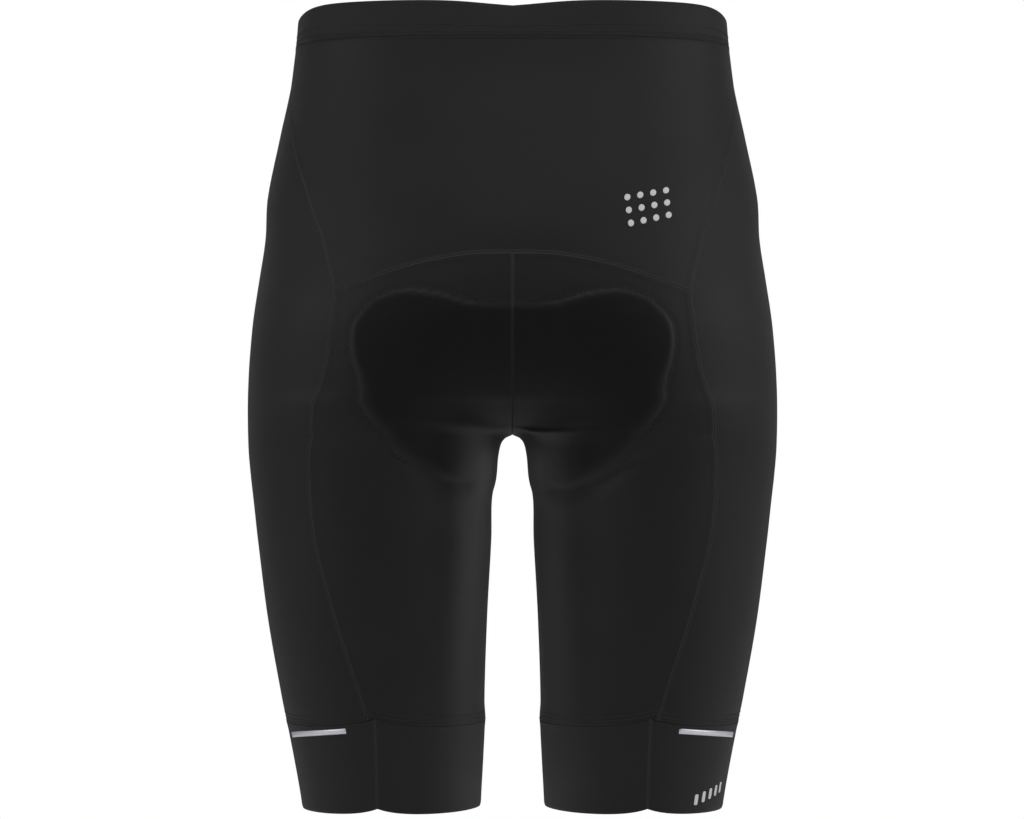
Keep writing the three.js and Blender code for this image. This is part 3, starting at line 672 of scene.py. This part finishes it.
def addCreases(patch, creases):
    last = creaseUser["points"] - 1
    for crease in creases:
        places = smoothLine(crease["line"], creaseUser["points"])
        distance, share = distanceTo(patch.points, surfacePoint(*places.T) * [patch.side, 1, 1])
        fade = np.sin(np.pi * np.clip(share, creaseUser["endShare"], 1 - creaseUser["endShare"]))
        below = patch.run > places[np.clip((share * last).astype(int), 0, last), 1]
        width = np.where(below, crease["width"], crease.get("steep", crease["width"]))
        patch.relief += crease["height"] * fade ** creaseUser["endPower"] * np.exp(-(distance / width) ** 2)


backCreases = {
    "Left": [
        {"line": [(0.0, 0.905), (0.06, 0.93), (0.13, 0.915)], "width": 9.0, "height": 0.9, "steep": 7.0},
        {"line": [(0.23, 1.045), (0.185, 1.085), (0.155, 1.12), (0.1, 1.135)], "width": 6.0, "height": -2.6,
         "steep": 2.8},
        {"line": [(0.16, 1.14), (0.09, 1.155), (0.02, 1.16)], "width": 5.0, "height": 0.5},
        {"line": [(0.26, 1.22), (0.17, 1.25), (0.08, 1.29)], "width": 11.0, "height": 0.5},
    ],
    "Right": [
        {"line": [(0.0, 0.905), (0.03, 0.925), (0.06, 0.945), (0.11, 0.962), (0.17, 0.966), (0.21, 0.955)],
         "width": 6.0, "height": 2.3, "steep": 2.6},
        {"line": [(0.25, 1.04), (0.21, 1.085), (0.18, 1.125), (0.13, 1.145), (0.08, 1.142)], "width": 6.0,
         "height": -3.0, "steep": 2.8},
        {"line": [(0.19, 1.165), (0.11, 1.18), (0.03, 1.17)], "width": 6.0, "height": 0.55},
        {"line": [(0.27, 1.3), (0.15, 1.34), (0.06, 1.35)], "width": 13.0, "height": 0.4},
    ],
}
frontCreases = {
    "Left": [
        {"line": [(0.99, 1.02), (0.94, 0.97), (0.88, 0.93)], "width": 5.0, "height": 0.8},
        {"line": [(0.985, 1.07), (0.93, 1.06), (0.86, 1.02)], "width": 5.5, "height": -0.7},
        {"line": [(0.98, 1.16), (0.9, 1.14), (0.82, 1.07)], "width": 7.0, "height": 0.45},
    ],
    "Right": [
        {"line": [(0.99, 0.98), (0.95, 0.94), (0.89, 0.91), (0.85, 0.9)], "width": 4.5, "height": 0.9},
        {"line": [(0.97, 1.09), (0.9, 1.05), (0.84, 0.99)], "width": 5.0, "height": -0.6},
        {"line": [(0.97, 0.86), (0.92, 0.81), (0.87, 0.8)], "width": 6.0, "height": 0.5},
        {"line": [(0.98, 1.2), (0.91, 1.21), (0.84, 1.16)], "width": 9.0, "height": 0.4},
    ],
}

panelWall = 1.2


def panels():
    yoke = yokePatch()
    backLeg = backLegPatch()
    sidePanel = longPatch(sideShares, backSeamTurn, frontSeamTurn)
    frontLeg = longPatch(frontShares, frontSeamTurn, np.ones_like)
    # the centre seam lies flatter, and shows no pale edge, once it is the inseam
    aboveCrotch = 1 / (1 + np.exp((backLeg.run - 1) * seamUser["inseamRamp"]))
    centreShare = seamUser["inseamShare"] + (1 - seamUser["inseamShare"]) * aboveCrotch
    for patch, welted in ((yoke, ("fromFirst", "fromLast")), (backLeg, ("fromTop", "fromLast")),
                          (sidePanel, ("fromLast",)), (frontLeg, ())):
        for edge in ("fromTop", "fromBottom", "fromLast", "fromFirst"):
            share = centreShare if patch is backLeg and edge == "fromFirst" else 1
            patch.relief += share * seam(getattr(patch, edge), seamUser["welt"] if edge in welted else 0)
    paintEdgeHighlights(yoke, [yoke.fromBottom, yoke.fromFirst, yoke.fromLast])
    paintEdgeHighlights(backLeg, [backLeg.fromTop, backLeg.fromFirst + seamUser["inseamBare"] * (backLeg.run > 1),
                         backLeg.fromLast])
    for patch in (sidePanel, frontLeg):
        paintEdgeHighlights(patch, [patch.fromFirst, patch.fromLast])
    addPadRelief(backLeg, padBack)
    addPadRelief(frontLeg, padFront)
    made = {}
    shellPiece("backYokeCloth", yoke, panelWall, lycra, "back_yoke", "back yoke")
    for name, node, patch, cloth, creases in (
            ("backLeg", "back_leg", backLeg, legLycra, backCreases),
            ("sidePanel", "side_panel", sidePanel, lycra, {}),
            ("frontLeg", "front_leg", frontLeg, legLycra, frontCreases)):
        for side, copy in bothSides(patch):
            addCreases(copy, creases.get(side, []))
            shellPiece(f"{name}Cloth{side}", copy, panelWall, cloth, f"{node}_{side.lower()}", name)
            made[name + side] = copy
    return made


made = panels()
print("panels made")


# Waistband: a folded strip round the waist, with a rounded rim
bandUser = {"wall": 2.0, "rimRound": 8, "rimDip": 2.4, "rimDipWidth": 34,
            "rimLift": 7.3, "liftPower": 0.9, "cornerPower": 18}


def bandPatch():
    rows = steps(lengths["band"], cells["band"], start=False)
    turns = allTurns(form["bandRun"])
    half = Patch(turns[None] + 0 * rows[:, None], form["bandRun"] * rows[:, None] + 0 * turns[None])
    join = lambda grid, way=1: np.concatenate([grid, (grid * way)[:, -2:0:-1]], axis=1)
    return Patch(join(half.turn), join(half.run), 1, join(half.points, flipX), join(half.normals, flipX))


def waistband():
    patch = bandPatch()
    patch.relief += seam(patch.fromBottom)
    depth = bandUser["wall"]
    rows, columns = patch.points.shape[:2]
    # across the back the rim stands a little higher, but dips at the centre
    across = np.minimum(np.abs(patch.points[..., 0]) / sectionAt(np.array([0.0]))["half"], 1)
    lift = bandUser["rimLift"] * across ** bandUser["liftPower"] * (1 - across ** bandUser["cornerPower"])
    lift -= bandUser["rimDip"] * np.exp(-(patch.points[..., 0] / bandUser["rimDipWidth"]) ** 2)
    patch.points[..., 2] += lift * (patch.points[..., 1] > 0) * (1 - patch.run / form["bandRun"])
    outer = patch.outer()
    inner = patch.points - patch.normals * depth
    up = unit(patch.points[0] - patch.points[1])
    middle = (outer[0] + inner[0]) / 2
    arc = []
    for k in range(1, bandUser["rimRound"]):
        angle = np.pi * k / bandUser["rimRound"]
        arc.append(middle + (outer[0] - middle) * np.cos(angle) + up * (depth / 2) * np.sin(angle))
    loop = np.concatenate([outer[::-1], np.stack(arc), inner])
    count = len(loop)
    faces = gridFaces(count + 1, columns, flip=True, closed=True) % (count * columns)
    uvDown = np.repeat(np.arange(count) * cells["band"], columns)
    uv = np.stack([np.tile(patch.fromFirst[0], count), uvDown], -1)
    piece = makeObject("waistbandCloth", loop.reshape(-1, 3), faces, bandCloth, uv)
    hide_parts("waistband")
    declareSheet(patch, "waistband")
    return patch


band = waistband()


# Leg grippers: a strip round each leg with its own seam on the back of the thigh
cuffUser = {"wall": 1.4, "clearTurn": 0.002, "topWelt": 0.2, "seamShare": 0.7, "hemDip": 0.45,
            "hemWidth": 1.2}


def cuffPatch():
    turns = allTurns(form["cuffRun"])
    turns[np.argmin(np.abs(turns - cuffSeamTurn))] = cuffSeamTurn
    near = seamSteps[1:] / lengths["cuffRound"]
    clear = near[-1] + cuffUser["clearTurn"]
    ahead, behind = turns[turns > cuffSeamTurn + clear], turns[turns < cuffSeamTurn - clear]
    ends = [cuffSeamTurn]
    order = np.concatenate([ends, cuffSeamTurn + near, ahead[:-1], behind, cuffSeamTurn - near[::-1], ends])
    rows = steps(lengths["cuff"], cells["cuff"])[:, None]
    leaning = order[None] + form["cuffSeamLean"] * rows * np.sin(np.pi * order[None]) ** 2
    top, foot = cuffRun(order)[None], hemRun(order)[None]
    return Patch(leaning, top + (foot - top) * rows)


def cuffs():
    patch = cuffPatch()
    patch.relief += seam(patch.fromTop, cuffUser["topWelt"])
    patch.relief += cuffUser["seamShare"] * (seam(patch.fromFirst) + seam(patch.fromLast))
    paintEdgeHighlights(patch, [patch.fromFirst, patch.fromLast])
    # the cloth is folded up inside at the hem, so its edge is rounded
    patch.relief -= cuffUser["hemDip"] * np.exp(-(patch.fromBottom / cuffUser["hemWidth"]) ** 2)
    for side, copy in bothSides(patch):
        shellPiece(f"legGripperCloth{side}", copy, cuffUser["wall"], gripperCloth,
                   f"leg_gripper_{side.lower()}", "leg gripper")


cuffs()
print("band and grippers made")


# Reflective tape: a thin strip heat-bonded just under the gripper seam
tapeUser = {"start": (0.3, 1.769), "end": (0.437, 1.795), "heightRun": 0.0145,
            "lift": 0.12, "wall": 0.45, "back": 0.1, "bevel": 0.8, "columns": 40, "rows": 6}


def tapes():
    share = np.linspace(0, 1, tapeUser["columns"])[None]
    down = np.linspace(0, 1, tapeUser["rows"])[:, None]
    (startTurn, startRun), (endTurn, endRun) = tapeUser["start"], tapeUser["end"]
    turn = startTurn + (endTurn - startTurn) * share + 0 * down
    run = startRun + (endRun - startRun) * share + tapeUser["heightRun"] * down
    patch = Patch(turn, run)
    edge = np.minimum.reduce([patch.fromFirst, patch.fromLast, patch.fromTop, patch.fromBottom])
    patch.relief += tapeUser["lift"] + tapeUser["wall"] * np.sqrt(np.minimum(edge / tapeUser["bevel"], 1))
    for side, copy in bothSides(patch):
        shellPiece(f"reflectiveTape{side}", copy, tapeUser["back"], tapeFinish,
                   f"reflective_tab_{side.lower()}", None)


tapes()


# Plain pale marks printed on the cloth: dots behind the hip and short bars on one gripper, each a thin
# skin made from the cloth's own points moved out
markUser = {"lift": 0.1, "skin": 0.12, "cells": 9, "step": 1e-3}
marks = {
    "hipMarks": {"slot": "lycra", "turn": 0.2175, "run": 0.406, "lean": 0.0, "size": (4.4, 4.4), "round": 1.0,
                 "places": [(x * 9.4, y * 8.6) for x in (-1.5, -0.5, 0.5, 1.5) for y in (-1, 0, 1)]},
    "gripperMarks": {"slot": "gripper", "turn": 0.385, "run": 1.952, "lean": 0.22, "size": (3.2, 7.5),
                     "round": 0.45, "places": [(x * 7, 0) for x in (-2, -1, 0, 1, 2)]},
}


def printedMarks(name, user):
    step = markUser["step"]
    corner = surfacePoint(user["turn"], user["run"])
    perTurn = np.linalg.norm(surfacePoint(user["turn"] + step, user["run"]) - corner) / step
    perRun = np.linalg.norm(surfacePoint(user["turn"], user["run"] + step) - corner) / step
    u, v = np.meshgrid(*[np.linspace(-1, 1, markUser["cells"])] * 2)
    x = u * np.sqrt(1 - user["round"] * v ** 2 / 2) * user["size"][0] / 2
    y = v * np.sqrt(1 - user["round"] * u ** 2 / 2) * user["size"][1] / 2
    vertices, faces = [], []
    for placeX, placeY in user["places"]:
        across, down = placeX + x, placeY + y - user["lean"] * placeX
        points = surfacePoint(user["turn"] + across / perTurn, user["run"] + down / perRun) * flipX
        normals = surfaceNormal(points)
        start = sum(map(len, vertices))
        for lift in (markUser["lift"] + markUser["skin"], markUser["lift"] - markUser["skin"]):
            vertices.append((points + normals * lift).reshape(-1, 3))
        faces.append(shellFaces(markUser["cells"], markUser["cells"], True) + start)
    makeObject(name, np.concatenate(vertices), np.concatenate(faces), printFinish)


for name, user in marks.items():
    printedMarks(name, user)


# Seat pad: a shaped foam pad inside the seat, thickest under the sit bones, with sewn channels
padUser = {"clearance": 1.5, "thickness": 8.0, "edge": 1.2, "across": 30, "acrossPower": 1.25, "seatRows": 54,
           "thighRows": 18, "bevel": 0.26, "fill": 0.7, "joinDistance": 2e-5, "linePoints": 400,
           "channelDepth": 2.6, "channelWidth": 2.6, "longChannel": 0.42, "longBow": 0.1, "halfBreadth": 95,
           "crossChannel": 0.36, "length": 180, "crossEnd": 0.3, "crossLift": 12}


def padQuarter(pad):
    a = np.linspace(0, 1, padUser["across"] + 1) ** padUser["acrossPower"]
    topRun, footRun = pad["top"][0][1], pad["foot"][0][1]
    runs = np.concatenate([np.linspace(topRun, 1, padUser["seatRows"] + 1),
                           np.linspace(1, footRun, padUser["thighRows"] + 1)[1:]])
    b = np.arange(len(runs)) / (len(runs) - 1)
    count = padUser["linePoints"]
    at = lambda places, t: np.stack([np.interp(t, np.linspace(0, 1, count), column)
                                     for column in smoothLine(places, count).T], -1)
    top, foot, outer = at(pad["top"], a)[None], at(pad["foot"], a)[None], at(pad["outer"], b)[:, None]
    centre = np.stack([np.full(len(runs), float(pad["centreTurn"])), runs], -1)[:, None]
    u, v = a[None, :, None], b[:, None, None]
    place = (1 - v) * top + v * foot + (1 - u) * centre + u * outer
    place -= (1 - v) * ((1 - u) * top[:, :1] + u * top[:, -1:])
    place -= v * ((1 - u) * foot[:, :1] + u * foot[:, -1:])
    place[:, 0] = centre[:, 0]
    patch = Patch(place[..., 0], place[..., 1])
    across, down = a[None], b[:, None]
    rise = np.minimum(1, np.minimum(1 - across, np.minimum(down, 1 - down)) / padUser["bevel"])
    depth = padUser["edge"] + (padUser["thickness"] - padUser["edge"]) * np.sin(np.pi / 2 * rise)
    channel = padUser["longChannel"] + padUser["longBow"] * np.sin(np.pi * down)
    lengthways = np.abs(across - channel) * padUser["halfBreadth"]
    crossways = np.abs(down - padUser["crossChannel"]) * padUser["length"]
    crossways = crossways + padUser["crossLift"] * (across < padUser["crossEnd"])
    for line in (lengthways, crossways):
        depth = depth - padUser["channelDepth"] * np.exp(-(line / padUser["channelWidth"]) ** 2) * rise
    return patch, depth


def seatPad():
    vertices, faces = [], []
    start = 0
    for pad, flip in ((padBack, False), (padFront, True)):
        patch, depth = padQuarter(pad)
        rows, columns = patch.points.shape[:2]
        top = panelWall + padUser["clearance"]
        for side in (1, -1):
            way = np.array([side, 1, 1])
            outer = (patch.points - patch.normals * top) * way
            inner = (patch.points - patch.normals * (top + depth)[..., None]) * way
            turned = flip if side > 0 else not flip
            vertices += [outer.reshape(-1, 3), inner.reshape(-1, 3)]
            faces.append(shellFaces(rows, columns, turned) + start)
            start += 2 * rows * columns
    piece = makeObject("seatPadFoam", np.concatenate(vertices), np.concatenate(faces), padCloth)
    weldPad(piece)
    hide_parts("seat_pad")


# The quarters become one body: shared points are joined and the walls between them go
def weldPad(piece):
    work = bmesh.new()
    work.from_mesh(piece.data)
    bmesh.ops.remove_doubles(work, verts=work.verts, dist=padUser["joinDistance"])
    seen = {}
    for face in work.faces:
        seen.setdefault(frozenset(vertex.index for vertex in face.verts), []).append(face)
    twins = [face for faces in seen.values() if len(faces) > 1 for face in faces]
    bmesh.ops.delete(work, geom=twins, context="FACES")
    bmesh.ops.recalc_face_normals(work, faces=work.faces)
    work.to_mesh(piece.data)
    work.free()
    piece.data.shade_smooth()


seatPad()
print("pad made")


# Stitching: many small thread lengths joined in one mesh
stitchUser = {"pitch": 2.9, "fill": 0.78, "width": 0.55, "height": 0.4, "lift": 0.05, "bandRows": (3.2, 7.2),
              "cuffRows": (3.4, 6.4), "zigPitch": 1.9, "zigWidth": 3.8, "zigThread": 0.4, "zigInset": 0.006,
              "zigEnd": 1.08, "zigLift": 0.12, "near": 6, "nearSoft": 0.05}
threadSides = 6
threadRings = np.array([-1, -0.8, 0, 0.8, 1.0])
threadSwell = np.array([0.15, 0.8, 1, 0.8, 0.15])


# Rows of threads, each given by its starts, ends and outward ways
def stitches(name, threads, width=stitchUser["width"], mirror=False):
    starts, ends, normals = (np.concatenate(parts) * (flipX if mirror else 1) for parts in zip(*threads))
    middle, half = (starts + ends) / 2, (ends - starts) / 2
    along = unit(half)
    across = np.cross(normals, along)
    angles = 2 * np.pi * np.arange(threadSides) / threadSides
    ring = (across[:, None, None] * (np.cos(angles) * width / 2)[None, None, :, None]
            + normals[:, None, None] * (np.sin(angles) * stitchUser["height"] / 2)[None, None, :, None])
    points = (middle[:, None, None] + half[:, None, None] * threadRings[None, :, None, None]
              + ring * threadSwell[None, :, None, None])
    count, rings = len(starts), len(threadRings)
    size = rings * threadSides
    one = gridFaces(rings, threadSides, closed=True).tolist()
    first = range(threadSides)
    caps = [list(first)[::-1], [size - threadSides + k for k in first]]
    faces = [[index + size * k for index in face] for k in range(count) for face in one + caps]
    makeObject(name, points.reshape(-1, 3), faces, threadFinish)


# Evenly spaced places along a line of points, with the outward way at each
def spaced(line, normals, pitch):
    length = np.concatenate([[0], np.cumsum(np.linalg.norm(np.diff(line, axis=0), axis=1))])
    places = np.arange(pitch / 2, length[-1], pitch)
    read = lambda grid, at: np.stack([np.interp(at, length, column) for column in grid.T], -1)
    return places, lambda at: read(line, at), lambda at: read(normals, at)


def stitchRow(line, normals):
    places, point, normal = spaced(line, normals, stitchUser["pitch"])
    half = stitchUser["pitch"] * stitchUser["fill"] / 2
    return point(places - half), point(places + half), unit(normal(places))


def zigzagRow(line, normals, sideways):
    pitch = stitchUser["zigPitch"]
    places, point, normal = spaced(line, normals, pitch)
    _, _, way = spaced(line, sideways, pitch)
    swing = way(places) * np.where(np.arange(len(places)) % 2, 1, -1)[:, None] * stitchUser["zigWidth"] / 2
    return point(places - pitch / 2) + swing, point(places + pitch / 2) - swing, unit(normal(places))


# Places on a patch's finished face, for lines of (turn, run) pairs
def onCloth(patch, places, lift):
    smooth = surfacePoint(places[:, 0], places[:, 1]) * [patch.side, 1, 1]
    normals = surfaceNormal(smooth)
    flat, relief = patch.points.reshape(-1, 3), patch.relief.ravel()
    heights = []
    for point in smooth:
        gap = ((flat - point) ** 2).sum(axis=1)
        near = np.argpartition(gap, stitchUser["near"])[:stitchUser["near"]]
        weight = 1 / (gap[near] + stitchUser["nearSoft"])
        heights.append((relief[near] * weight).sum() / weight.sum())
    return smooth + normals * (np.array(heights) + lift)[:, None], normals


# The line on a patch's finished face that keeps one distance from its lower edge
def aboveFoot(patch, distance):
    outer = patch.outer(stitchUser["lift"])
    line, normals = [], []
    for j in range(outer.shape[1]):
        heights = patch.fromBottom[::-1, j]
        for places, grid in ((line, outer), (normals, patch.normals)):
            places.append([np.interp(distance, heights, grid[::-1, j, k]) for k in range(3)])
    return np.array(line), np.array(normals)


def makeStitching():
    rows = []
    for distance in stitchUser["bandRows"]:
        rows.append(stitchRow(*(np.concatenate([part, part[:1]]) for part in aboveFoot(band, distance))))
    stitches("waistbandStitching", rows)
    rows = []
    for distance in stitchUser["cuffRows"]:
        lines = [aboveFoot(made[name], distance) for name in ("backLegLeft", "sidePanelLeft", "frontLegLeft")]
        rows.append(stitchRow(*(np.concatenate(parts) for parts in zip(*lines))))
    stitches("gripperStitchingLeft", rows)
    stitches("gripperStitchingRight", rows, mirror=True)


# A zigzag holds the pad to the seat cloth, and shows outside along the pad's outline
def makePadStitching():
    for side in ("Left", "Right"):
        rows = []
        for name, pad in (("backLeg", padBack), ("frontLeg", padFront)):
            outline = padOutline(pad)
            inside = outline[(np.abs(outline[:, 0] - pad["centreTurn"]) > stitchUser["zigInset"])
                             & (outline[:, 1] < stitchUser["zigEnd"])]
            line, normals = onCloth(made[name + side], inside, stitchUser["zigLift"])
            sideways = np.cross(normals, unit(np.gradient(line, axis=0)))
            rows.append(zigzagRow(line, normals, sideways))
        stitches(f"padStitching{side}", rows, stitchUser["zigThread"])


makeStitching()
makePadStitching()
print("stitching made")


# Studio: pale floor, white surroundings and soft lights, stronger on the wearer's right
studio = {
    "floorHeight": -0.9, "floorRadius": 1.6, "floorSides": 96, "worldLight": 0.008,
    "distance": 2.4, "height": -0.2633, "offset": 0.00034, "lens": 123.5, "sensor": 36,
}
# Place, aim, breadth and height in metres, and the light given off by each square metre
softboxes = {
    "softboxRight": ((-2.1, 0.45, 0.2), (0, 0, -0.25), (1.5, 1.4), 4.4),
    "softboxLeft": ((2.0, 0.75, 0.2), (0, 0, -0.25), (1.2, 1.3), 4.4),
    "softboxTop": ((0, 1.3, 2.1), (0, 0, -0.25), (2.4, 1.2), 5.3),
    "softboxBack": ((0, 2.6, 1.0), (0, 0, -0.25), (2.4, 0.9), 0.9),
    "softboxFront": ((0, -2.2, 1.5), (0, 0, -0.25), (2.0, 1.0), 2.6),
    "fillLeftLeg": ((0, 0.024, -0.42), (1, 0.024, -0.42), (0.024, 0.25), 1.25),
    "fillRightLeg": ((0, 0.024, -0.42), (-1, 0.024, -0.42), (0.024, 0.25), 0.62),
    "fillCrotch": ((0, 0.09, -0.345), (0, 0.065, -0.27), (0.03, 0.04), 1.3),
}


def softbox(name, place, aim, size, level):
    data = bpy.data.lights.new(name, "AREA")
    data.shape = "RECTANGLE"
    data.size, data.size_y = size
    data.energy = level * np.pi * size[0] * size[1]
    light = bpy.data.objects.new(name, data)
    light.location = place
    light.rotation_euler = (Vector(aim) - Vector(place)).to_track_quat("-Z", "Y").to_euler()
    light.visible_camera = False
    bpy.context.scene.collection.objects.link(light)


def makeStudio():
    pale = Finish("paleFloor")
    spots = pale.noise(pale.node("ShaderNodeTexCoord", {}, {}, "Object"), 3)
    pale.set({"Base Color": pale.mix(spots, (0.9, 0.9, 0.9), (0.93, 0.93, 0.93)), "Roughness": 0.9})
    angles = 2 * np.pi * np.arange(studio["floorSides"]) / studio["floorSides"]
    reach, height = studio["floorRadius"], studio["floorHeight"]
    mesh = bpy.data.meshes.new("paleFloor")
    mesh.from_pydata([(reach * np.cos(angle), reach * np.sin(angle), height) for angle in angles], [],
                     [list(range(studio["floorSides"]))])
    mesh.materials.append(pale.material)
    floor = bpy.data.objects.new("paleFloor", mesh)
    bpy.context.scene.collection.objects.link(floor)

    # the surroundings look white, and light the cloth only a little
    white = Finish("studioWhite", bpy.data.worlds, "Background")
    seen = white.node("ShaderNodeLightPath", {}, {}, "Is Camera Ray")
    white.set({"Color": (1, 1, 1, 1), "Strength": seen * (1 - studio["worldLight"]) + studio["worldLight"]})
    bpy.context.scene.world = white.material

    for name, values in softboxes.items():
        softbox(name, *values)

    lens = bpy.data.cameras.new("camera")
    lens.lens, lens.sensor_width = studio["lens"], studio["sensor"]
    camera = bpy.data.objects.new("camera", lens)
    camera.location = (studio["offset"], studio["distance"], studio["height"])
    camera.rotation_euler = (np.pi / 2, 0, np.pi)
    bpy.context.scene.collection.objects.link(camera)
    bpy.context.scene.camera = camera
    bpy.context.scene.view_settings.view_transform = "Standard"


makeStudio()
print("studio ready")
